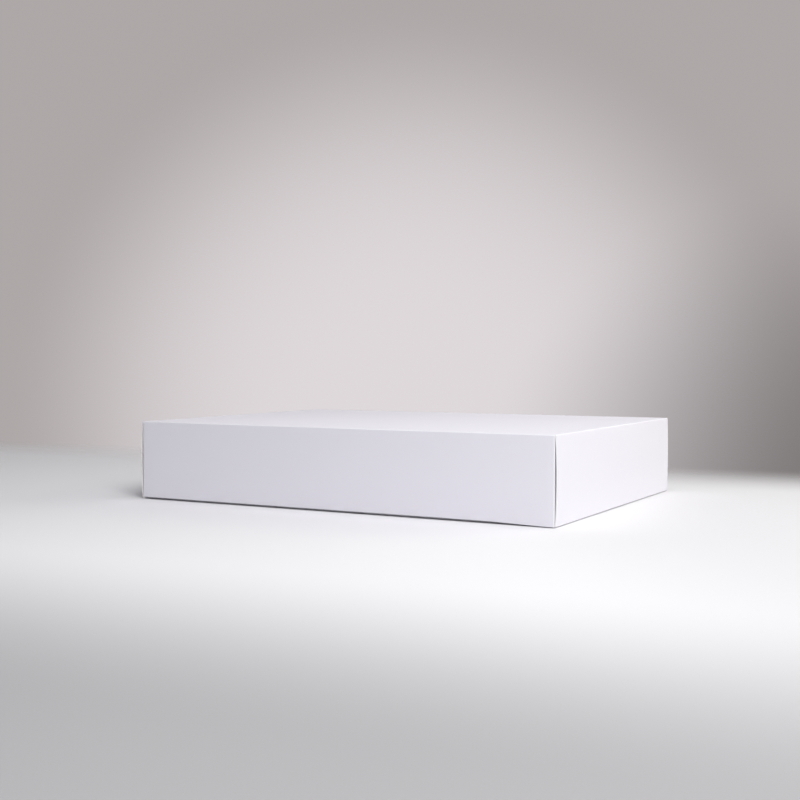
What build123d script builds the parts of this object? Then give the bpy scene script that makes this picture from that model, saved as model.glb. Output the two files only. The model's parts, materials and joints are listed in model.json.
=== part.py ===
from build123d import *
import os

# Folding gift box of white card: a tray and a full-depth lid, each folded from one flat blank.
# Millimetres, +Z up, long side along X, front at -Y, origin at the centre of the underside.
# Both halves are the same kind of tray: a panel, single long walls whose ends fold into ears, and
# double end walls that roll over the ears and end in a flap lying on the panel.

# Card and creases
CARD = 0.6
FOLD_R = 0.7
CREASE_GAP = 0.05
EAR_SLACK = 0.15
WALL_STACK = 3 * CARD + 2 * EAR_SLACK

# Outside of the closed box
LID_LENGTH = 310.0
LID_DEPTH = 226.0
LID_TOP = 54.5
LID_RIM_OFF_FLOOR = 0.4
LID_END_BOW = 1.6

# Tray inside the lid, closer at its ends than at its long walls, which spring outwards
END_CLEARANCE = 1.0
SIDE_CLEARANCE = 2.5
BASE_LENGTH = LID_LENGTH - 2 * (WALL_STACK + END_CLEARANCE)
BASE_DEPTH = LID_DEPTH - 2 * (CARD + SIDE_CLEARANCE)
BASE_BELOW_FLAP = 0.15
BASE_HEIGHT = LID_TOP - 2 * CARD - CREASE_GAP - BASE_BELOW_FLAP
BASE_END_BOW = 0.5

# Long walls and their ears
LID_WALL_SHORT = 0.9
BASE_WALL_SHORT = 0.3
CORNER_RISE = 0.8
CORNER_RUN = 14.0
EAR_LENGTH = 46.0
EAR_CLEARANCE = 0.5
EAR_NOSE_R = 6.0

# Double end walls
END_WALL_INSET = 0.2
RIM_INSET = 0.8
INNER_WALL_INSET = 1.6
FLAP_LENGTH = 30.0
FLAP_TAPER = 8.0
FLAP_CORNER_R = 3.0

SIDES = {"front": -Axis.Y.direction, "back": Axis.Y.direction}
ENDS = {"left": -Axis.X.direction, "right": Axis.X.direction}


# Sections are drawn outwards and upwards, in the plane that cuts a wall across its length
def run_along(section, outward, half_length):
    across = Plane(origin=(0, 0, 0), x_dir=outward, z_dir=outward.cross(Axis.Z.direction))
    return extrude(across * section, amount=half_length, both=True)


def block(low, high):
    return Pos((low[0] + high[0]) / 2, (low[1] + high[1]) / 2) * Rectangle(high[0] - low[0], high[1] - low[1])


def bend(centre, start_angle):
    ring = Circle(FOLD_R) - Circle(FOLD_R - CARD)
    quarter = Rot(0, 0, start_angle) * Pos(FOLD_R, FOLD_R) * Rectangle(2 * FOLD_R, 2 * FOLD_R)
    return Pos(*centre) * (ring & quarter)


def bead(centre):
    return Pos(*centre) * Circle(FOLD_R)


def crease_room(centre):
    return Pos(*centre) * Circle(FOLD_R + CREASE_GAP)


def bowed_strip(outer, low, high, bow):
    middle = (low + high) / 2
    outside = ThreePointArc((outer, low), (outer + bow, middle), (outer, high))
    inside = ThreePointArc((outer - CARD, high), (outer - CARD + bow, middle), (outer - CARD, low))
    top = Line((outer, high), (outer - CARD, high))
    foot = Line((outer - CARD, low), (outer, low))
    return make_face([outside, top, inside, foot])


# Panel; with hinged long walls it carries a rounded bead along both creases
def panel(length, depth, hinged):
    plate = Box(length - 2 * FOLD_R, depth - 2 * FOLD_R, CARD, align=(Align.CENTER, Align.CENTER, Align.MIN))
    if hinged:
        crease = (depth / 2 - FOLD_R, FOLD_R)
        for outward in SIDES.values():
            plate += run_along(bead(crease), outward, length / 2 - CARD - EAR_SLACK)
    return plate


# Long wall, its free edge drawn up a little towards both ends, with the bends that turn into the ears
def long_wall(length, depth, wall_height, outward, hinged):
    reach = length / 2 - CARD - EAR_SLACK
    flat = reach - FOLD_R
    rise_from = length / 2 - CORNER_RUN
    corner_height = wall_height - CORNER_RISE
    crease = (depth / 2 - FOLD_R, FOLD_R)
    edge = [
        Line((-rise_from, wall_height), (rise_from, wall_height)),
        TangentArc((rise_from, wall_height), (reach, corner_height), tangent=(1, 0)),
        Line((reach, corner_height), (reach, FOLD_R)),
        Line((reach, FOLD_R), (-reach, FOLD_R)),
        Line((-reach, FOLD_R), (-reach, corner_height)),
        TangentArc((-rise_from, wall_height), (-reach, corner_height), tangent=(-1, 0)),
    ]
    along = outward.cross(Axis.Z.direction)
    facing = Plane(origin=(0, 0, 0), x_dir=along, z_dir=-outward)
    elevation = extrude(facing * make_face(edge), amount=depth, both=True)
    plan = block((-flat, depth / 2 - CARD), (flat, depth / 2))
    plan += bend((flat, depth / 2 - FOLD_R), 0)
    plan += bend((-flat, depth / 2 - FOLD_R), 90)
    upright = Plane(origin=(0, 0, 0), x_dir=along, z_dir=(0, 0, 1))
    wall = extrude(upright * plan, amount=wall_height) & elevation
    if hinged:
        return wall - run_along(crease_room(crease), outward, length)
    return wall + run_along(bend(crease, 270), outward, reach)


# Ear at the end of a long wall: its edge is an arc about the crease, so it can slide out of its pocket
def ear(length, depth, height, outward, end):
    outer = length / 2 - CARD - EAR_SLACK
    root = depth / 2 - FOLD_R
    radius = height - 3 * FOLD_R - EAR_CLEARANCE
    swept = Pos(root, FOLD_R) * Circle(radius)
    quarter = block((root - EAR_LENGTH, FOLD_R), (root, FOLD_R + radius))
    outline = swept & quarter
    nose = outline.vertices().sort_by(Axis.X)[0:2]
    outline = fillet(nose, EAR_NOSE_R)
    outline -= crease_room((root, FOLD_R))
    section = Plane(origin=end * (outer - CARD), x_dir=outward, z_dir=outward.cross(Axis.Z.direction))
    amount = CARD if section.z_dir.dot(end) > 0 else -CARD
    return extrude(section * outline, amount=amount)


# Double end wall: bowed outer wall, narrow rim over the pocket, inner wall, and a flap on the panel
def end_wall(length, depth, height, bow, end):
    outer = length / 2
    section = bowed_strip(outer, FOLD_R, height - FOLD_R, bow)
    section += bend((outer - FOLD_R, FOLD_R), 270)
    return run_along(section, end, depth / 2 - END_WALL_INSET)


def rim(length, depth, height, end, hinged):
    outer = length / 2
    inner_crease = (outer - WALL_STACK + FOLD_R, height - FOLD_R)
    section = block((inner_crease[0], height - CARD), (outer - FOLD_R, height))
    section += bend((outer - FOLD_R, height - FOLD_R), 0)
    section += bead(inner_crease) if hinged else bend(inner_crease, 90)
    return run_along(section, end, depth / 2 - RIM_INSET)


def foot_crease(length):
    return (length / 2 - WALL_STACK + CARD - FOLD_R, CARD + CREASE_GAP + FOLD_R)


def inner_wall(length, depth, height, end, hinged):
    inner = length / 2 - WALL_STACK
    foot = foot_crease(length)
    section = block((inner, foot[1]), (inner + CARD, height - FOLD_R))
    if hinged:
        section -= crease_room((inner + FOLD_R, height - FOLD_R))
        section += bead(foot)
    else:
        section += bend(foot, 270)
    return run_along(section, end, depth / 2 - INNER_WALL_INSET)


def foot_flap(length, depth, end, hinged):
    root, level = foot_crease(length)
    half_width = depth / 2 - INNER_WALL_INSET
    tip = root - FLAP_LENGTH
    plan = make_face(Polyline(
        (root, -half_width), (root, half_width),
        (tip, half_width - FLAP_TAPER), (tip, -half_width + FLAP_TAPER), close=True))
    plan = fillet(plan.vertices().sort_by(Axis.X)[0:2], FLAP_CORNER_R)
    upright = Plane(origin=(0, 0, CARD + CREASE_GAP), x_dir=end, z_dir=(0, 0, 1))
    flap = extrude(upright * plan, amount=CARD)
    if hinged:
        flap -= run_along(crease_room((root, level)), end, depth)
    return flap


def tray(length, depth, height, wall_height, bow, walls_hinged, inner_hinged):
    parts = {"panel": panel(length, depth, walls_hinged)}
    for side, outward in SIDES.items():
        parts[f"{side}_wall"] = long_wall(length, depth, wall_height, outward, walls_hinged)
        for name, end in ENDS.items():
            parts[f"{side}_{name}_ear"] = ear(length, depth, height, outward, end)
    for name, end in ENDS.items():
        parts[f"{name}_end_wall"] = end_wall(length, depth, height, bow, end)
        parts[f"{name}_rim"] = rim(length, depth, height, end, inner_hinged)
        parts[f"{name}_inner_wall"] = inner_wall(length, depth, height, end, inner_hinged)
        parts[f"{name}_foot_flap"] = foot_flap(length, depth, end, inner_hinged)
    return parts


def turned_over(shape):
    return Pos(0, 0, LID_TOP) * mirror(shape, Plane.XY)


def write(name, shape):
    shape.label = name
    export_step(shape, f"parts/{name}.step")


os.makedirs("parts", exist_ok=True)

base = tray(BASE_LENGTH, BASE_DEPTH, BASE_HEIGHT, BASE_HEIGHT - BASE_WALL_SHORT, BASE_END_BOW,
            walls_hinged=False, inner_hinged=True)
for name, shape in base.items():
    write("base_bottom_panel" if name == "panel" else f"base_{name}", shape)

lid_height = LID_TOP - LID_RIM_OFF_FLOOR
lid = tray(LID_LENGTH, LID_DEPTH, lid_height, lid_height - LID_WALL_SHORT, LID_END_BOW,
           walls_hinged=True, inner_hinged=False)
for name, shape in lid.items():
    write("lid_top_panel" if name == "panel" else f"lid_{name}", turned_over(shape))
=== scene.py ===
import json
import math

import bmesh
import bpy
from bpy.props import FloatProperty, FloatVectorProperty, PointerProperty
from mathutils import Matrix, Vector, noise


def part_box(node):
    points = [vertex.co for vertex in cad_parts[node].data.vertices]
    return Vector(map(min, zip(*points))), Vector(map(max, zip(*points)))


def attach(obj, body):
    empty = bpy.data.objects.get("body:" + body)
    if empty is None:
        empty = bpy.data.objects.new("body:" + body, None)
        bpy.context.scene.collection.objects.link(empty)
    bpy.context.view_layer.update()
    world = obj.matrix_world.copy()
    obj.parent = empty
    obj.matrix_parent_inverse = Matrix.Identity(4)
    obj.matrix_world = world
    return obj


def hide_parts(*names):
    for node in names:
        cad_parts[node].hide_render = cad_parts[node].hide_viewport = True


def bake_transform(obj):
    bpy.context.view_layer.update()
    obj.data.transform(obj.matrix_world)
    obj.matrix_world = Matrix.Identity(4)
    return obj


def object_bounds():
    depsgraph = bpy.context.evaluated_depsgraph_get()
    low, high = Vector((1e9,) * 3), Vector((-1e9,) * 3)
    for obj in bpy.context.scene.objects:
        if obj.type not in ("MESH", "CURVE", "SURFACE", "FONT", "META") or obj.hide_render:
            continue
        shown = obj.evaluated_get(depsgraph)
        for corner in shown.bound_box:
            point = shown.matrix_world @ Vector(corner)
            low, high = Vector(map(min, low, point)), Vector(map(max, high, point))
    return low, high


bl_info = {
    "name": "Folding gift box",
    "version": (1, 0, 0),
    "blender": (4, 5, 0),
    "location": "View3D > Sidebar > Gift Box",
    "description": "Builds the card panels of a lift-off lid and its tray, with their creases, and the studio",
    "category": "Add Mesh",
}

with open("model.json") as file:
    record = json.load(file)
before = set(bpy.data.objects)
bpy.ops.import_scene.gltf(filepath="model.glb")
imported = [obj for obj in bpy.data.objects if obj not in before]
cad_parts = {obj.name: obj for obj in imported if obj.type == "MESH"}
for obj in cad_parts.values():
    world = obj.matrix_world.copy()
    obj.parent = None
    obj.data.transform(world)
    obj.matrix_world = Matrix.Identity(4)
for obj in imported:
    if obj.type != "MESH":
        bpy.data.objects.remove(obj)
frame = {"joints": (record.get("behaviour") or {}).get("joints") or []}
CAD_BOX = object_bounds()
JOINTS = {joint["name"]: joint for joint in frame["joints"]}

MM = 0.001
LID_TOP = CAD_BOX[1].z
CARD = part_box("base_bottom_panel")[1].z - CAD_BOX[0].z
FOLD_R = LID_TOP - JOINTS["lid_front_fold"]["pos_m"][2]
SIDES = {"front": -1, "back": 1}
ENDS = {"left": -1, "right": 1}


# Sizes, finishes and studio settings


class CardSizes(bpy.types.PropertyGroup):
    """How the card settles and how its edges and creases are shaped."""

    grid: FloatProperty(name="Grid", description="Spacing of the mesh on the flat of a panel",
                        default=6 * MM, unit="LENGTH")
    edge_round: FloatProperty(name="Edge rounding", description="Rounding of each cut edge of the card",
                              default=0.08 * MM, unit="LENGTH")
    bead: FloatProperty(name="Crease bead", description="Radius of the bead pressed up inside each fold",
                        default=0.45 * MM, unit="LENGTH")
    panel_sag: FloatProperty(name="Panel sag", description="How far the middle of a wide panel sinks",
                             default=0.35 * MM, unit="LENGTH")
    wall_sag: FloatProperty(name="Wall sag", description="How far a long wall's free edge leans in",
                            default=0.2 * MM, unit="LENGTH")
    ripple: FloatProperty(name="Ripple", description="Height of the slow waves that every card panel has",
                          default=0.05 * MM, unit="LENGTH")
    end_bow: FloatProperty(name="End bow", description="How far an end wall springs out at its front edge",
                           default=0.85 * MM, unit="LENGTH")
    back_bow: FloatProperty(name="Bow at the back", description="Share of that bow left at its back edge",
                            default=0.4, subtype="FACTOR")
    edge_lift: FloatProperty(name="Edge lift", description="How far a lid wall's free edge draws up",
                             default=0.25 * MM, unit="LENGTH")
    right_drop: FloatProperty(name="Right drop", description="How far a lid wall's right corner hangs down",
                              default=0.8 * MM, unit="LENGTH")


class CardFinish(bpy.types.PropertyGroup):
    """Colours and gloss of the board."""

    lid_white: FloatVectorProperty(name="Lid white", description="Coated face of the lid", size=3,
                                   default=(0.80, 0.785, 0.85), subtype="COLOR")
    base_white: FloatVectorProperty(name="Base white", description="Coated face of the base", size=3,
                                    default=(0.79, 0.775, 0.83), subtype="COLOR")
    inside_white: FloatVectorProperty(name="Inside white", description="Uncoated face of the board", size=3,
                                      default=(0.76, 0.745, 0.72), subtype="COLOR")
    edge_white: FloatVectorProperty(name="Cut edge", description="Fibres bared along a cut edge", size=3,
                                    default=(0.90, 0.893, 0.88), subtype="COLOR")
    # Paler coating over the creases: stretched coating, and partly a painted highlight along the folds.
    crease_white_and_highlight: FloatVectorProperty(name="Crease", description="Coating stretched pale over a crease", size=3,
                                      default=(0.88, 0.875, 0.90), subtype="COLOR")
    coat_roughness: FloatProperty(name="Coated roughness", description="Roughness of the coated face",
                                  default=0.42, subtype="FACTOR")


class Studio(bpy.types.PropertyGroup):
    """Camera, lamps and floor."""

    lens: FloatProperty(name="Lens", description="Focal length on a 36 mm wide sensor", default=54.48)
    camera_turn: FloatProperty(name="Camera turn", description="Turn of the view about the upright axis",
                               default=math.radians(28.736), subtype="ANGLE")
    camera_dip: FloatProperty(name="Camera dip", description="How far the camera looks below level",
                              default=math.radians(2.036), subtype="ANGLE")
    camera_place: FloatVectorProperty(name="Camera place", description="Where the camera stands", size=3,
                                      default=(0.41258, -0.77085, 0.09972), subtype="TRANSLATION")
    floor_white: FloatVectorProperty(name="Floor", description="Floor under the box", size=3,
                                     default=(0.812, 0.807, 0.827), subtype="COLOR")
    far_grey: FloatVectorProperty(name="Backdrop", description="Backdrop away from its glow", size=3,
                                  default=(0.422, 0.39, 0.389), subtype="COLOR")
    glow_grey: FloatVectorProperty(name="Backdrop glow", description="Backdrop where light falls on it", size=3,
                                   default=(0.731, 0.688, 0.702), subtype="COLOR")
    glow_towards: FloatVectorProperty(name="Glow direction", description="Where the backdrop glows", size=3,
                                      default=(-0.47, 0.882, -0.047), subtype="DIRECTION")
    # Painted shade: the backdrop's colour darkens low on its right.
    painted_shade: FloatProperty(name="Backdrop dusk", description="How much darker the backdrop is low on its right",
                        default=0.69, subtype="FACTOR")
    painted_shade_towards: FloatVectorProperty(name="Dusk direction", description="Where the backdrop darkens", size=3,
                                      default=(-0.163, 0.978, -0.131), subtype="DIRECTION")


# Materials written as expressions


class Value:
    """A value inside a material. Arithmetic on it adds the Math nodes for it."""

    def __init__(self, recipe, socket):
        self.recipe = recipe
        self.socket = socket

    def maths(self, operation, first, second):
        return self.recipe.node("ShaderNodeMath", {"operation": operation}, {0: first, 1: second})

    def __add__(self, other):
        return self.maths("ADD", self, other)

    def __mul__(self, other):
        return self.maths("MULTIPLY", self, other)

    def __sub__(self, other):
        return self.maths("SUBTRACT", self, other)

    def __rsub__(self, other):
        return self.maths("SUBTRACT", other, self)

    def __pow__(self, other):
        return self.maths("POWER", self, other)

    __radd__ = __add__
    __rmul__ = __mul__


class Recipe:
    """A node material or world, built up one node at a time."""

    def __init__(self, tree):
        self.tree = tree
        self.tree.nodes.clear()

    def node(self, kind, settings=None, sockets=None, output=0):
        """Adds a node: its settings first, then the value or the link of each socket."""
        made = self.tree.nodes.new(kind)
        for name, value in (settings or {}).items():
            setattr(made, name, value)
        for key, value in (sockets or {}).items():
            if isinstance(value, Value):
                self.tree.links.new(value.socket, made.inputs[key])
            else:
                made.inputs[key].default_value = value
        return Value(self, made.outputs[output]) if made.outputs else None

    def noise(self, scale, detail=2.0, stretch=(1, 1, 1)):
        place = self.node("ShaderNodeTexCoord", output="Object")
        where = self.node("ShaderNodeMapping", sockets={"Vector": place, "Scale": stretch})
        return self.node("ShaderNodeTexNoise", sockets={"Vector": where, "Scale": scale, "Detail": detail})

    def mark(self, name):
        return self.node("ShaderNodeAttribute", {"attribute_name": name}, output="Fac")

    def mix(self, factor, first, second):
        return self.node("ShaderNodeMix", {"data_type": "RGBA"}, {0: factor, 6: first, 7: second}, output=2)

    def bump(self, height, distance, strength):
        return self.node("ShaderNodeBump", sockets={
            "Height": height, "Distance": distance, "Strength": strength})

    def dot(self, place, direction):
        return self.node("ShaderNodeVectorMath", {"operation": "DOT_PRODUCT"}, {0: place, 1: direction},
                         output="Value")

    def length(self, place):
        return self.node("ShaderNodeVectorMath", {"operation": "LENGTH"}, {0: place}, output="Value")

    def ramp(self, value, low, high):
        """Turns smoothly from 0 at low to 1 at high."""
        return self.node("ShaderNodeMapRange", {"interpolation_type": "SMOOTHSTEP"},
                         {"Value": value, "From Min": low, "From Max": high})

    def principled(self, **sockets):
        names = {"tone": "Base Color", "rough": "Roughness", "normal": "Normal", "ior": "IOR",
                 "gloss": "Specular IOR Level"}
        return self.node("ShaderNodeBsdfPrincipled", sockets={
            names[key]: value for key, value in sockets.items()})

    def surface(self, shader, kind="ShaderNodeOutputMaterial"):
        self.node(kind, sockets={"Surface": shader})


def solid(colour, share=1.0):
    return (*(channel * share for channel in colour), 1.0)


def new_finish(name):
    material = bpy.data.materials.new(name)
    material.use_nodes = True
    return material, Recipe(material.node_tree)


def coated_finish(name, colour):
    """Smooth clay-coated face: satin, with slow tone drift and coating stretched pale on the creases, which is
    partly a painted highlight along the folds.
    """
    look = bpy.context.scene.gift_finish
    material, recipe = new_finish(name)
    drift = recipe.noise(7, 2)
    tooth = recipe.noise(1500, 4)
    mottle = recipe.noise(160, 3)
    crease = recipe.mark("crease")
    cracks = recipe.noise(2600, 3)
    tone = recipe.mix(drift, solid(colour, 0.985), solid(colour, 1.012))
    # Creases paint paler: the stretched, cracked coating, and partly a painted highlight along the folds.
    tone = recipe.mix(crease * (0.2 + 0.3 * cracks), tone, solid(look.crease_white_and_highlight))
    rough = look.coat_roughness + 0.05 * mottle + 0.03 * tooth + 0.12 * crease
    height = tooth * 0.5 + mottle * 0.35 + crease * cracks * 0.9
    normal = recipe.bump(height, 0.03 * MM, 0.35)
    recipe.surface(recipe.principled(tone=tone, rough=rough, normal=normal, gloss=0.45))
    return material


def uncoated_finish(name):
    """Bare board: matt, faintly warm, with fibres lying mostly along the grain."""
    look = bpy.context.scene.gift_finish
    material, recipe = new_finish(name)
    cloud = recipe.noise(38, 4)
    fibre = recipe.noise(520, 5, (1, 5, 5))
    fleck = recipe.noise(1900, 3)
    tone = recipe.mix(cloud, solid(look.inside_white, 0.97), solid(look.inside_white, 1.02))
    tone = recipe.mix(fibre ** 3, tone, solid(look.inside_white, 0.9))
    normal = recipe.bump(fibre * 0.7 + fleck * 0.4, 0.05 * MM, 0.6)
    recipe.surface(recipe.principled(tone=tone, rough=0.82 + 0.1 * fleck, normal=normal, gloss=0.3))
    return material


def cut_edge_finish(name):
    """Cut edge: pale torn fibres in thin plies between the two faces."""
    look = bpy.context.scene.gift_finish
    material, recipe = new_finish(name)
    ply = recipe.noise(2400, 3)
    nick = recipe.noise(420, 2)
    tone = recipe.mix(ply, solid(look.edge_white, 0.93), solid(look.edge_white, 1.03))
    normal = recipe.bump(ply * 0.8 + nick * 0.5, 0.06 * MM, 0.8)
    recipe.surface(recipe.principled(tone=tone, rough=0.9, normal=normal, gloss=0.25))
    return material


def board_faces(prefix):
    """The coated, bare and cut faces of one tray's board, made once."""
    names = [f"{prefix}_coated_face", f"{prefix}_bare_face", f"{prefix}_cut_edge"]
    if names[0] not in bpy.data.materials:
        look = bpy.context.scene.gift_finish
        coated_finish(names[0], look.lid_white if prefix == "lid" else look.base_white)
        uncoated_finish(names[1])
        cut_edge_finish(names[2])
    return [bpy.data.materials[name] for name in names]


# Sheets of card

COATED, BARE, CUT = range(3)
FOLD_STEPS = 10
BEAD_OPENING = 80
SHARP_ANGLE = math.radians(28)


class Spot:
    """One place on a card: a point on its coated face, the point behind it, and how creased it is there."""

    def __init__(self, coated, bare, crease=0.0):
        self.coated = Vector(coated)
        self.bare = Vector(bare)
        self.crease = crease

    def at(self, move):
        return Spot(move(self.coated), move(self.bare), self.crease)


def spaced(start, end, gap):
    """Even steps from start to end, both included, about a gap apart."""
    count = max(1, round(abs(end - start) / gap))
    return [start + (end - start) * step / count for step in range(count + 1)]


def rounded(centre, radius, angle):
    return Vector((centre[0] + radius * math.cos(angle), centre[1] + radius * math.sin(angle)))


def fold(centre, start, end, coated_outside=True, paleness_and_highlight=1.0):
    """Section of a fold from one angle to another, in degrees: a round outside and a pressed bead inside."""
    bead = bpy.context.scene.gift_sizes.bead
    turn = math.copysign(1, end - start)
    bead_start = start + (360 - BEAD_OPENING) * turn
    bead_end = end + BEAD_OPENING * turn
    spots = []
    for step in range(FOLD_STEPS + 1):
        share = step / FOLD_STEPS
        outside = rounded(centre, FOLD_R, math.radians(start + (end - start) * share))
        inside = rounded(centre, bead, math.radians(bead_start + (bead_end - bead_start) * share))
        # How pale the crease paints: stretched coating, and partly a painted highlight.
        crease = paleness_and_highlight * math.sin(math.pi * share) ** 0.5 if 0 < step < FOLD_STEPS else 0.0
        coated, bare = (outside, inside) if coated_outside else (inside, outside)
        spots.append(Spot(coated, bare, crease))
    return spots


def add_sheet(mesh, crease_layer, rows, cut):
    """Adds a closed sheet from rows of spots. cut names its bare edges: start, end, left, right."""
    last_row = len(rows) - 1
    last_col = len(rows[0]) - 1
    soft = bpy.context.scene.gift_sizes.edge_round

    def drawn_in(face, row, col):
        point = getattr(rows[row][col], face)
        shift = Vector((0, 0, 0))
        neighbours = []
        if "start" in cut and row == 0:
            neighbours.append((1, col))
        if "end" in cut and row == last_row:
            neighbours.append((last_row - 1, col))
        if "left" in cut and col == 0:
            neighbours.append((row, 1))
        if "right" in cut and col == last_col:
            neighbours.append((row, last_col - 1))
        for near_row, near_col in neighbours:
            shift += (getattr(rows[near_row][near_col], face) - point).normalized() * soft
        return point + shift

    def vertex(point, crease):
        made = mesh.verts.new(point)
        made[crease_layer] = crease
        return made

    def quad(corners, slot):
        made = mesh.faces.new(corners)
        made.material_index = slot
        made.smooth = True

    grids = {}
    for face in ("coated", "bare"):
        grids[face] = [[vertex(drawn_in(face, row, col), rows[row][col].crease)
                        for col in range(last_col + 1)] for row in range(last_row + 1)]
    for face, slot in (("coated", COATED), ("bare", BARE)):
        grid = grids[face]
        for row in range(last_row):
            for col in range(last_col):
                quad((grid[row][col], grid[row][col + 1], grid[row + 1][col + 1], grid[row + 1][col]), slot)

    rim = [(0, col) for col in range(last_col)]
    rim += [(row, last_col) for row in range(last_row)]
    rim += [(last_row, col) for col in range(last_col, 0, -1)]
    rim += [(row, 0) for row in range(last_row, 0, -1)]
    rings = [[], [], [], []]
    for row, col in rim:
        spot = rows[row][col]
        through = (spot.bare - spot.coated).normalized() * soft
        rings[0].append(grids["coated"][row][col])
        rings[1].append(vertex(spot.coated + through, spot.crease))
        rings[2].append(vertex(spot.bare - through, spot.crease))
        rings[3].append(grids["bare"][row][col])
    for ring, slot in ((0, COATED), (1, CUT), (2, BARE)):
        for here in range(len(rim)):
            there = (here + 1) % len(rim)
            quad((rings[ring][here], rings[ring][there], rings[ring + 1][there], rings[ring + 1][here]), slot)


def card_piece(name, prefix, sheets):
    """Makes a card piece from one or more sheets, each given as its rows and its cut sides."""
    mesh = bmesh.new()
    crease_layer = mesh.verts.layers.float.new("crease")
    for rows, cut in sheets:
        add_sheet(mesh, crease_layer, rows, cut)
    bmesh.ops.recalc_face_normals(mesh, faces=mesh.faces)
    data = bpy.data.meshes.new(name)
    mesh.to_mesh(data)
    mesh.free()
    data.set_sharp_from_angle(angle=SHARP_ANGLE)
    for material in board_faces(prefix):
        data.materials.append(material)
    piece = bpy.data.objects.new(name, data)
    bpy.context.scene.collection.objects.link(piece)
    return piece


# The two trays


class Tray:
    """One folded tray, measured from the frame. Its sections are drawn in u, outwards, and v, off the panel."""

    def __init__(self, prefix, panel):
        self.prefix = prefix
        self.panel = panel
        self.turned_over = prefix == "lid"
        wall_low, wall_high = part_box(f"{prefix}_front_wall")
        rim_low, rim_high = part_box(f"{prefix}_right_rim")
        end_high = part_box(f"{prefix}_right_end_wall")[1]
        inner_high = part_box(f"{prefix}_right_inner_wall")[1]
        flap_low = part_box(f"{prefix}_right_foot_flap")[0]
        ear_low, ear_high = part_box(f"{prefix}_front_right_ear")
        self.half_length = rim_high.x
        self.half_depth = -wall_low.y
        self.stack = rim_high.x - rim_low.x
        self.height = self.level(rim_low.z if self.turned_over else rim_high.z)
        self.wall_height = self.level(wall_low.z if self.turned_over else wall_high.z)
        self.reach = wall_high.x
        self.end_bow = end_high.x - self.half_length
        self.end_wall_edge = end_high.y
        self.rim_edge = rim_high.y
        self.inner_edge = inner_high.y
        self.flap_tip = flap_low.x
        self.ear_length = ear_high.y - ear_low.y
        self.ear_radius = ear_high.z - ear_low.z

    def level(self, z):
        """Height off the panel of a point at height z."""
        return LID_TOP - z if self.turned_over else z - CAD_BOX[0].z

    def z(self, v):
        return LID_TOP - v if self.turned_over else CAD_BOX[0].z + v

    def side_place(self, side, u, v, x):
        return Vector((x, SIDES[side] * u, self.z(v)))

    def end_place(self, end, u, v, y):
        return Vector((ENDS[end] * u, y, self.z(v)))

    def foot_crease(self):
        """Centre of the fold where an inner wall turns into its foot flap."""
        gap = JOINTS["base_right_foot_fold"]["pos_m"][2] - CARD - FOLD_R
        return self.half_length - self.stack + CARD - FOLD_R, CARD + gap + FOLD_R

    def rim_crease(self):
        """Centre of the fold where the rim turns down into the inner wall."""
        return self.half_length - self.stack + FOLD_R, self.height - FOLD_R


WAVES_PER_METRE = 14
PANEL_WAVES = 3.1
WALL_WAVES = 7.7


def ripple(point, seed):
    """Slow waves that any panel of card has, in metres."""
    height = bpy.context.scene.gift_sizes.ripple
    return height * noise.noise(point * WAVES_PER_METRE + Vector((seed, 0, -seed)))


def fade(share):
    """Rises from 0 at either end of a span to 1 at its middle."""
    return math.sin(math.pi * min(max(share, 0), 1))


def panel_rows(tray):
    sizes = bpy.context.scene.gift_sizes
    half_x = tray.half_length - FOLD_R
    half_y = tray.half_depth - FOLD_R
    rows = []
    for y in spaced(-half_y, half_y, sizes.grid):
        row = []
        for x in spaced(-half_x, half_x, sizes.grid):
            settle = fade((x / half_x + 1) / 2) * fade((y / half_y + 1) / 2) if tray.turned_over else 0.0
            drop = settle * (sizes.panel_sag + ripple(Vector((x, y, 0)), PANEL_WAVES))
            row.append(Spot((x, y, tray.z(drop)), (x, y, tray.z(CARD + drop))))
        rows.append(row)
    return rows


def wall_fold_rows(tray, side):
    """The crease between the panel and a long wall."""
    sizes = bpy.context.scene.gift_sizes
    section = fold((tray.half_depth - FOLD_R, FOLD_R), -90, 0)
    along = spaced(-tray.reach, tray.reach, sizes.grid)
    return [[spot.at(lambda p, x=x: tray.side_place(side, p.x, p.y, x)) for x in along] for spot in section]


def eased(value, low, high):
    """Turns smoothly from 0 at low to 1 at high."""
    share = min(max((value - low) / (high - low), 0), 1)
    return share * share * (3 - 2 * share)


CORNER_RISE = 0.8 * MM
CORNER_RUN = 14 * MM
DROP_FROM = 0.68
LONG_WALL_ROWS = 8


def wall_edge(tray, x):
    """Height of a long wall at x: the base's is cut down at its corners, the lid's hangs low at the right."""
    sizes = bpy.context.scene.gift_sizes
    if tray.turned_over:
        corner = eased(x, DROP_FROM * tray.reach, tray.reach)
        return tray.wall_height + sizes.right_drop * corner - sizes.edge_lift * (1 - corner)
    past = max(0, (abs(x) - (tray.half_length - CORNER_RUN)) / CORNER_RUN)
    return tray.wall_height - CORNER_RISE * min(past, 1) ** 2


def wall_rows(tray, side):
    """A long wall from its crease to its free edge, with the corner folds at both ends."""
    sizes = bpy.context.scene.gift_sizes
    flat = tray.reach - FOLD_R
    face = tray.half_depth
    plan = fold((-flat, face - FOLD_R), 180, 90)
    plan += [Spot((x, face), (x, face - CARD)) for x in spaced(-flat, flat, sizes.grid)[1:-1]]
    plan += fold((flat, face - FOLD_R), 90, 0)
    rows = []
    for share in spaced(0, 1, 1 / LONG_WALL_ROWS):
        row = []
        for spot in plan:
            x = spot.coated.x
            v = FOLD_R + (wall_edge(tray, x) - FOLD_R) * share
            settle = fade((x / flat + 1) / 2) * share
            lean = settle * (sizes.wall_sag + ripple(Vector((x, 0, v)), WALL_WAVES))
            row.append(spot.at(lambda p, v=v, lean=lean: tray.side_place(side, p.y - lean, v, p.x)))
        rows.append(row)
    return rows


CREASE_GAP = 0.05 * MM
EAR_NOSE_R = 6 * MM
EAR_COLUMNS = 10


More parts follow.
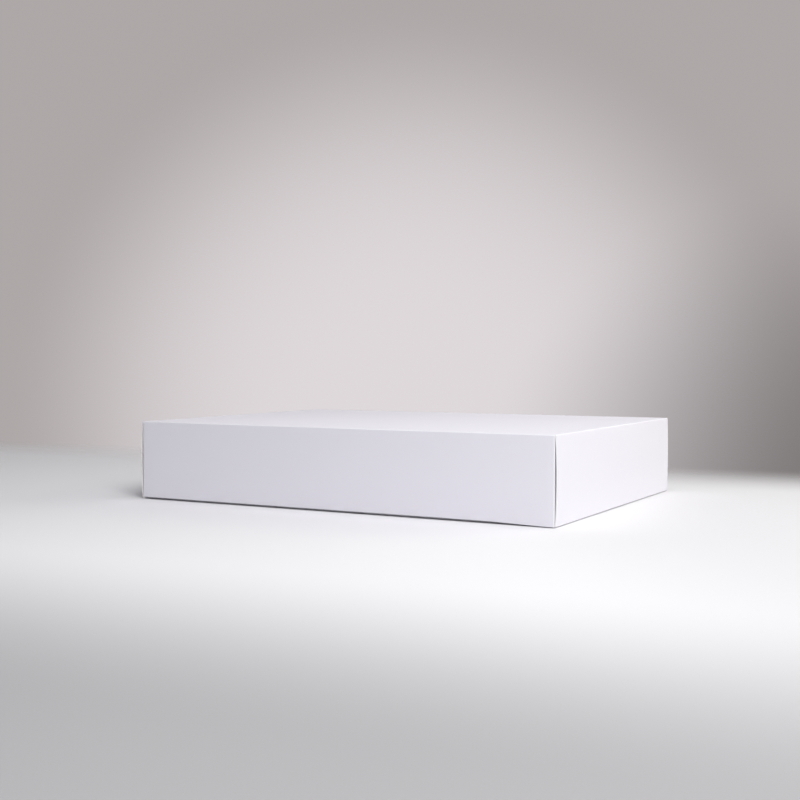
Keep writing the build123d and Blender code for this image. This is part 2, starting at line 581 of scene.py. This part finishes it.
def ear_rows(tray, side, end):
    """An ear, whose free edge is an arc about the crease of its wall."""
    sizes = bpy.context.scene.gift_sizes
    crease_room = FOLD_R + CREASE_GAP
    straight = tray.ear_length - EAR_NOSE_R
    nose_v = math.sqrt((tray.ear_radius - EAR_NOSE_R) ** 2 - straight ** 2)
    nose_from = straight * tray.ear_radius / (tray.ear_radius - EAR_NOSE_R)
    outer = tray.reach
    steps = spaced(0, straight, sizes.grid) + [
        straight + EAR_NOSE_R * math.sin(angle) for angle in spaced(0, math.pi / 2, math.pi / 16)[1:]]
    rows = []
    for inward in steps:
        nose = math.sqrt(max(0, EAR_NOSE_R ** 2 - max(0, inward - straight) ** 2))
        low = math.sqrt(max(0, crease_room ** 2 - inward ** 2)) + EAR_NOSE_R - nose
        arc = math.sqrt(tray.ear_radius ** 2 - inward ** 2)
        high = arc if inward < nose_from else nose_v + nose
        row = []
        for share in spaced(0, 1, 1 / EAR_COLUMNS):
            v = FOLD_R + low + (high - low) * share
            u = tray.half_depth - FOLD_R - inward
            place = tray.side_place(side, u, v, ENDS[end] * outer)
            behind = tray.side_place(side, u, v, ENDS[end] * (outer - CARD))
            row.append(Spot(place, behind))
        rows.append(row)
    return rows


def bow(tray, y, share):
    """How far an end wall stands out at this place: most at mid-height, and less towards the back."""
    sizes = bpy.context.scene.gift_sizes
    along = (y / tray.end_wall_edge + 1) / 2
    most = min(tray.end_bow, sizes.end_bow) * (1 - (1 - sizes.back_bow) * along)
    return most * 4 * share * (1 - share)


END_WALL_ROWS = 16


def end_wall_rows(tray, end):
    """The fold at the panel's end and the bowed outer wall above it."""
    sizes = bpy.context.scene.gift_sizes
    along = spaced(-tray.end_wall_edge, tray.end_wall_edge, sizes.grid)
    section = fold((tray.half_length - FOLD_R, FOLD_R), -90, 0, paleness_and_highlight=0.3)
    rows = [[spot.at(lambda p, y=y: tray.end_place(end, p.x, p.y, y)) for y in along] for spot in section]
    for share in spaced(0, 1, 1 / END_WALL_ROWS)[1:]:
        v = FOLD_R + (tray.height - 2 * FOLD_R) * share
        row = []
        for y in along:
            u = tray.half_length + bow(tray, y, share)
            row.append(Spot(tray.end_place(end, u, v, y), tray.end_place(end, u - CARD, v, y)))
        rows.append(row)
    return rows


def rim_rows(tray, end):
    """The fold over the top of the pocket and the narrow strip that spans it."""
    along = spaced(-tray.rim_edge, tray.rim_edge, bpy.context.scene.gift_sizes.grid)
    section = fold((tray.half_length - FOLD_R, tray.height - FOLD_R), 0, 90)
    crease_u = tray.rim_crease()[0]
    section.append(Spot((crease_u, tray.height), (crease_u, tray.height - CARD)))
    return [[spot.at(lambda p, y=y: tray.end_place(end, p.x, p.y, y)) for y in along] for spot in section]


def inner_wall_rows(tray, end):
    """The fold at the rim's inner side and the wall that hangs from it."""
    along = spaced(-tray.inner_edge, tray.inner_edge, bpy.context.scene.gift_sizes.grid)
    section = fold(tray.rim_crease(), 90, 180)
    inner = tray.half_length - tray.stack
    for v in spaced(tray.rim_crease()[1], tray.foot_crease()[1], bpy.context.scene.gift_sizes.grid)[1:]:
        section.append(Spot((inner, v), (inner + CARD, v)))
    return [[spot.at(lambda p, y=y: tray.end_place(end, p.x, p.y, y)) for y in along] for spot in section]


FLAP_TAPER = 8 * MM
FLAP_CORNER_R = 3 * MM
FLAP_STEP = 5 * MM
FLAP_HALF_COLUMNS = 24


def foot_flap_rows(tray, end):
    """The fold at an inner wall's foot and the tapered flap that lies on the panel."""
    centre = tray.foot_crease()
    length = centre[0] - tray.flap_tip
    section = fold(centre, 0, -90, coated_outside=False)
    reaches = [0.0] * len(section)
    inwards = spaced(0, length - FLAP_CORNER_R, FLAP_STEP)[1:]
    for angle in spaced(0, math.pi / 2, math.pi / 12)[1:]:
        inwards.append(length - FLAP_CORNER_R * (1 - math.sin(angle)))
    for inward in inwards:
        u = centre[0] - inward
        section.append(Spot((u, centre[1] - FOLD_R + CARD), (u, centre[1] - FOLD_R)))
        reaches.append(inward)
    rows = []
    for spot, inward in zip(section, reaches):
        into_corner = max(0, inward - (length - FLAP_CORNER_R))
        lost = FLAP_CORNER_R - math.sqrt(max(0, FLAP_CORNER_R ** 2 - into_corner ** 2))
        half = tray.inner_edge - FLAP_TAPER * inward / length - lost
        along = [half * share for share in spaced(-1, 1, 1 / FLAP_HALF_COLUMNS)]
        rows.append([spot.at(lambda p, y=y: tray.end_place(end, p.x, p.y, y)) for y in along])
    return rows


TRAYS = [Tray("base", "base_bottom_panel"), Tray("lid", "lid_top_panel")]
CREASE_MARGIN = 0.3 * MM


# Operators, one for each group of like pieces


class BuildPanels(bpy.types.Operator):
    """Build the lid's top panel and the base's bottom panel"""

    bl_idname = "gift_box.panels"
    bl_label = "Panels"

    def execute(self, context):
        for tray in TRAYS:
            piece = card_piece(f"{tray.panel}_card", tray.prefix, [(panel_rows(tray), set())])
            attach(piece, tray.prefix)
            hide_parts(tray.panel)
        return {"FINISHED"}


class BuildLongWalls(bpy.types.Operator):
    """Build the front and back walls, which bend out of the panels"""

    bl_idname = "gift_box.long_walls"
    bl_label = "Front and back walls"

    def execute(self, context):
        for tray in TRAYS:
            for side in SIDES:
                sheets = [(wall_fold_rows(tray, side), {"left", "right"}), (wall_rows(tray, side), {"end"})]
                piece = card_piece(f"{tray.prefix}_{side}_wall_card", tray.prefix, sheets)
                if tray.turned_over:
                    crease = tray.half_depth - FOLD_R
                    start = tray.side_place(side, crease - CREASE_MARGIN, 0, 0)
                    end = tray.side_place(side, tray.half_depth, FOLD_R + CREASE_MARGIN, 0)
                    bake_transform(piece)
                else:
                    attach(piece, "base")
                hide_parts(f"{tray.prefix}_{side}_wall")
        return {"FINISHED"}


class BuildEars(bpy.types.Operator):
    """Build the ears that slide into the end walls' pockets"""

    bl_idname = "gift_box.ears"
    bl_label = "Ears"

    def execute(self, context):
        for tray in TRAYS:
            for side in SIDES:
                for end in ENDS:
                    name = f"{tray.prefix}_{side}_{end}_ear"
                    piece = card_piece(f"{name}_card", tray.prefix,
                                       [(ear_rows(tray, side, end), {"end", "left", "right"})])
                    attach(piece, f"lid_{side}" if tray.turned_over else "base")
                    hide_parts(name)
        return {"FINISHED"}


class BuildEndWalls(bpy.types.Operator):
    """Build the bowed outer end walls"""

    bl_idname = "gift_box.end_walls"
    bl_label = "Outer end walls"

    def execute(self, context):
        for tray in TRAYS:
            for end in ENDS:
                name = f"{tray.prefix}_{end}_end_wall"
                piece = card_piece(f"{name}_card", tray.prefix,
                                   [(end_wall_rows(tray, end), {"left", "right"})])
                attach(piece, tray.prefix)
                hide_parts(name)
        return {"FINISHED"}


class BuildRims(bpy.types.Operator):
    """Build the narrow rims over the pockets"""

    bl_idname = "gift_box.rims"
    bl_label = "Rims"

    def execute(self, context):
        for tray in TRAYS:
            for end in ENDS:
                name = f"{tray.prefix}_{end}_rim"
                piece = card_piece(f"{name}_card", tray.prefix,
                                   [(rim_rows(tray, end), {"left", "right"})])
                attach(piece, tray.prefix)
                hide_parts(name)
        return {"FINISHED"}


class BuildInnerWalls(bpy.types.Operator):
    """Build the inner end walls, which bend down from the rims"""

    bl_idname = "gift_box.inner_walls"
    bl_label = "Inner end walls"

    def execute(self, context):
        for tray in TRAYS:
            for end in ENDS:
                name = f"{tray.prefix}_{end}_inner_wall"
                piece = card_piece(f"{name}_card", tray.prefix,
                                   [(inner_wall_rows(tray, end), {"left", "right"})])
                if tray.turned_over:
                    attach(piece, "lid")
                else:
                    u, v = tray.rim_crease()
                    start = tray.end_place(end, u + CREASE_MARGIN, v + FOLD_R, 0)
                    stop = tray.end_place(end, u - FOLD_R, v - CREASE_MARGIN, 0)
                    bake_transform(piece)
                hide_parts(name)
        return {"FINISHED"}


class BuildFootFlaps(bpy.types.Operator):
    """Build the foot flaps that lie on the panels"""

    bl_idname = "gift_box.foot_flaps"
    bl_label = "Foot flaps"

    def execute(self, context):
        for tray in TRAYS:
            for end in ENDS:
                name = f"{tray.prefix}_{end}_foot_flap"
                piece = card_piece(f"{name}_card", tray.prefix,
                                   [(foot_flap_rows(tray, end), {"end", "left", "right"})])
                if tray.turned_over:
                    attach(piece, "lid")
                else:
                    u, v = tray.foot_crease()
                    start = tray.end_place(end, u + FOLD_R, v + CREASE_MARGIN, 0)
                    stop = tray.end_place(end, u - CREASE_MARGIN, v - FOLD_R, 0)
                    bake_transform(piece)
                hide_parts(name)
        return {"FINISHED"}


# Name, place, aim, width, height, power and colour of each lamp
LAMPS = [
    ("front_right", (0.9, -0.9, 0.9), (0.1, -0.1, 0.02), 0.6, 0.6, 16.8, (1.0, 1.0, 1.0)),
    ("back_right", (0.7, 0.5, 0.42), (0.0, 0.0, 0.0), 0.5, 0.5, 3.0, (1.0, 0.99, 0.88)),
    ("high", (-0.2, 0.1, 1.3), (0.0, 0.0, 0.0), 0.9, 0.9, 1.75, (0.97, 0.97, 1.0)),
    ("overhead", (0.25, -0.1, 0.7), (0.1, -0.05, 0.0), 0.4, 0.4, 1.8, (0.97, 0.97, 1.0)),
    ("back_left", (-0.7, 0.7, 0.6), (0.0, 0.0, 0.0), 0.6, 0.6, 1.5, (1.0, 1.0, 1.0)),
]
GLOSSY_LAMPS = ("high", "overhead")
FILL = 0.08
FLOOR_REACH = 4.0
# Where each change in the floor begins and ends, in metres from the box's middle, and how dark it gets; its
# darkening is painted shade
FLOOR_FADES = (0.14, 0.36)
FLOOR_EDGE = (0.6, 1.1)
FLOOR_PAINTED_SHADE_SPAN = (0.33, 0.58)
FLOOR_PAINTED_SHADE_SHARE = 0.5
FLOOR_SIDE_SHADE_SPAN = (0.03, 0.2)
FLOOR_SIDE_SHADE = 0.88
# Cosines between which the backdrop's painted glow and painted shade come on
GLOW_SPREAD = (0.946, 1.0)
PAINTED_SHADE_SPREAD = (0.961, 1.02)


class BuildStudio(bpy.types.Operator):
    """Build the pale floor, the soft lamps, the background and the camera"""

    bl_idname = "gift_box.studio"
    bl_label = "Studio"

    def execute(self, context):
        studio = context.scene.gift_studio
        self.build_floor(context, studio)
        self.build_lamps(context)
        self.build_world(context, studio)
        self.build_camera(context, studio)
        context.scene.view_settings.view_transform = "Standard"
        return {"FINISHED"}

    def build_floor(self, context, studio):
        """A pale table top that fades out behind the box and well away from it, where the backdrop shows.
        Painted shade darkens its colour towards the camera and the left, and on the box's right.
        """
        mesh = bmesh.new()
        bmesh.ops.create_grid(mesh, x_segments=20, y_segments=20, size=FLOOR_REACH)
        data = bpy.data.meshes.new("floor")
        mesh.to_mesh(data)
        mesh.free()
        floor = bpy.data.objects.new("floor", data)
        floor.location.z = CAD_BOX[0].z
        context.scene.collection.objects.link(floor)
        material, recipe = new_finish("floor_paper")
        place = recipe.node("ShaderNodeTexCoord", output="Object")
        away = Vector((-math.sin(studio.camera_turn), math.cos(studio.camera_turn), 0))
        beside = Vector((math.cos(studio.camera_turn), math.sin(studio.camera_turn), 0))
        behind = recipe.ramp(recipe.dot(place, away + 0.5 * beside), *FLOOR_FADES)
        around = recipe.ramp(recipe.length(place), *FLOOR_EDGE)
        gone = 1 - (1 - behind) * (1 - around)
        # Painted shade: the floor's colour darkens towards the camera and the left, and on the box's right,
        # standing in for light falling off.
        painted_shade = recipe.ramp(recipe.dot(place, -away - 0.45 * beside), *FLOOR_PAINTED_SHADE_SPAN)
        painted_side_shade = recipe.ramp(recipe.dot(place, beside), *FLOOR_SIDE_SHADE_SPAN)
        tone = recipe.mix(painted_side_shade, solid(studio.floor_white), solid(studio.floor_white, FLOOR_SIDE_SHADE))
        tone = recipe.mix(painted_shade, tone, solid(studio.floor_white, FLOOR_PAINTED_SHADE_SHARE))
        paper = recipe.principled(tone=tone, rough=0.75, gloss=0.2)
        nothing = recipe.node("ShaderNodeBsdfTransparent")
        recipe.surface(recipe.node("ShaderNodeMixShader", sockets={0: gone, 1: paper, 2: nothing}))
        data.materials.append(material)

    def build_lamps(self, context):
        """Soft lamps. Only those overhead show in gloss, so the lid's top keeps its tone from every side."""
        for name, place, aim, width, height, power, colour in LAMPS:
            lamp = bpy.data.lights.new(name, "AREA")
            lamp.shape = "RECTANGLE"
            lamp.size = width
            lamp.size_y = height
            lamp.energy = power
            lamp.color = colour
            holder = bpy.data.objects.new(name, lamp)
            holder.location = place
            holder.rotation_euler = (Vector(aim) - Vector(place)).to_track_quat("-Z", "Y").to_euler()
            holder.visible_camera = False
            holder.visible_glossy = name in GLOSSY_LAMPS
            context.scene.collection.objects.link(holder)

    def build_world(self, context, studio):
        """Soft fill for the box, and behind it a warm grey backdrop that glows where the light falls on it:
        painted light, with painted shade low on its right.
        """
        world = bpy.data.worlds.new("studio")
        world.use_nodes = True
        context.scene.world = world
        recipe = Recipe(world.node_tree)
        seen = recipe.node("ShaderNodeMath", {"operation": "MAXIMUM"}, {
            0: recipe.node("ShaderNodeLightPath", output="Is Camera Ray"),
            1: recipe.node("ShaderNodeLightPath", output="Is Glossy Ray")})
        direction = recipe.node("ShaderNodeTexCoord", output="Generated")
        glow = recipe.ramp(recipe.dot(direction, studio.glow_towards), *GLOW_SPREAD)
        painted_shade = recipe.ramp(recipe.dot(direction, studio.painted_shade_towards), *PAINTED_SHADE_SPREAD)
        tone = recipe.mix(glow, solid(studio.far_grey), solid(studio.glow_grey))
        # Painted shade: the backdrop's colour is drawn towards black low on its right.
        tone = recipe.mix(painted_shade * studio.painted_shade, tone, solid((0, 0, 0)))
        fill = recipe.node("ShaderNodeBackground", sockets={"Color": solid((FILL, FILL, FILL))})
        backdrop = recipe.node("ShaderNodeBackground", sockets={"Color": tone})
        both = recipe.node("ShaderNodeMixShader", sockets={0: seen, 1: fill, 2: backdrop})
        recipe.surface(both, "ShaderNodeOutputWorld")

    def build_camera(self, context, studio):
        lens = bpy.data.cameras.new("camera")
        lens.lens = studio.lens
        lens.clip_start = 0.01
        holder = bpy.data.objects.new("camera", lens)
        holder.location = studio.camera_place
        holder.rotation_euler = (math.pi / 2 - studio.camera_dip, 0, studio.camera_turn)
        context.scene.collection.objects.link(holder)
        context.scene.camera = holder


OPERATORS = [BuildPanels, BuildLongWalls, BuildEars, BuildEndWalls, BuildRims, BuildInnerWalls, BuildFootFlaps,
             BuildStudio]
SETTINGS = {"gift_sizes": CardSizes, "gift_finish": CardFinish, "gift_studio": Studio}


class GiftBoxPanel(bpy.types.Panel):
    """Sidebar panel with the box's pieces and settings"""

    bl_idname = "VIEW3D_PT_gift_box"
    bl_label = "Gift Box"
    bl_space_type = "VIEW_3D"
    bl_region_type = "UI"
    bl_category = "Gift Box"

    def draw(self, context):
        for operator in OPERATORS:
            self.layout.operator(operator.bl_idname)
        for name, group in SETTINGS.items():
            box = self.layout.box()
            for setting in group.__annotations__:
                box.prop(getattr(context.scene, name), setting)


def register():
    for group in (*SETTINGS.values(), *OPERATORS, GiftBoxPanel):
        bpy.utils.register_class(group)
    for name, group in SETTINGS.items():
        setattr(bpy.types.Scene, name, PointerProperty(type=group))


def unregister():
    for name in SETTINGS:
        delattr(bpy.types.Scene, name)
    for group in reversed((*SETTINGS.values(), *OPERATORS, GiftBoxPanel)):
        bpy.utils.unregister_class(group)


def main():
    register()
    for operator in OPERATORS:
        group, name = operator.bl_idname.split(".")
        getattr(getattr(bpy.ops, group), name)()


if __name__ == "__main__":
    main()
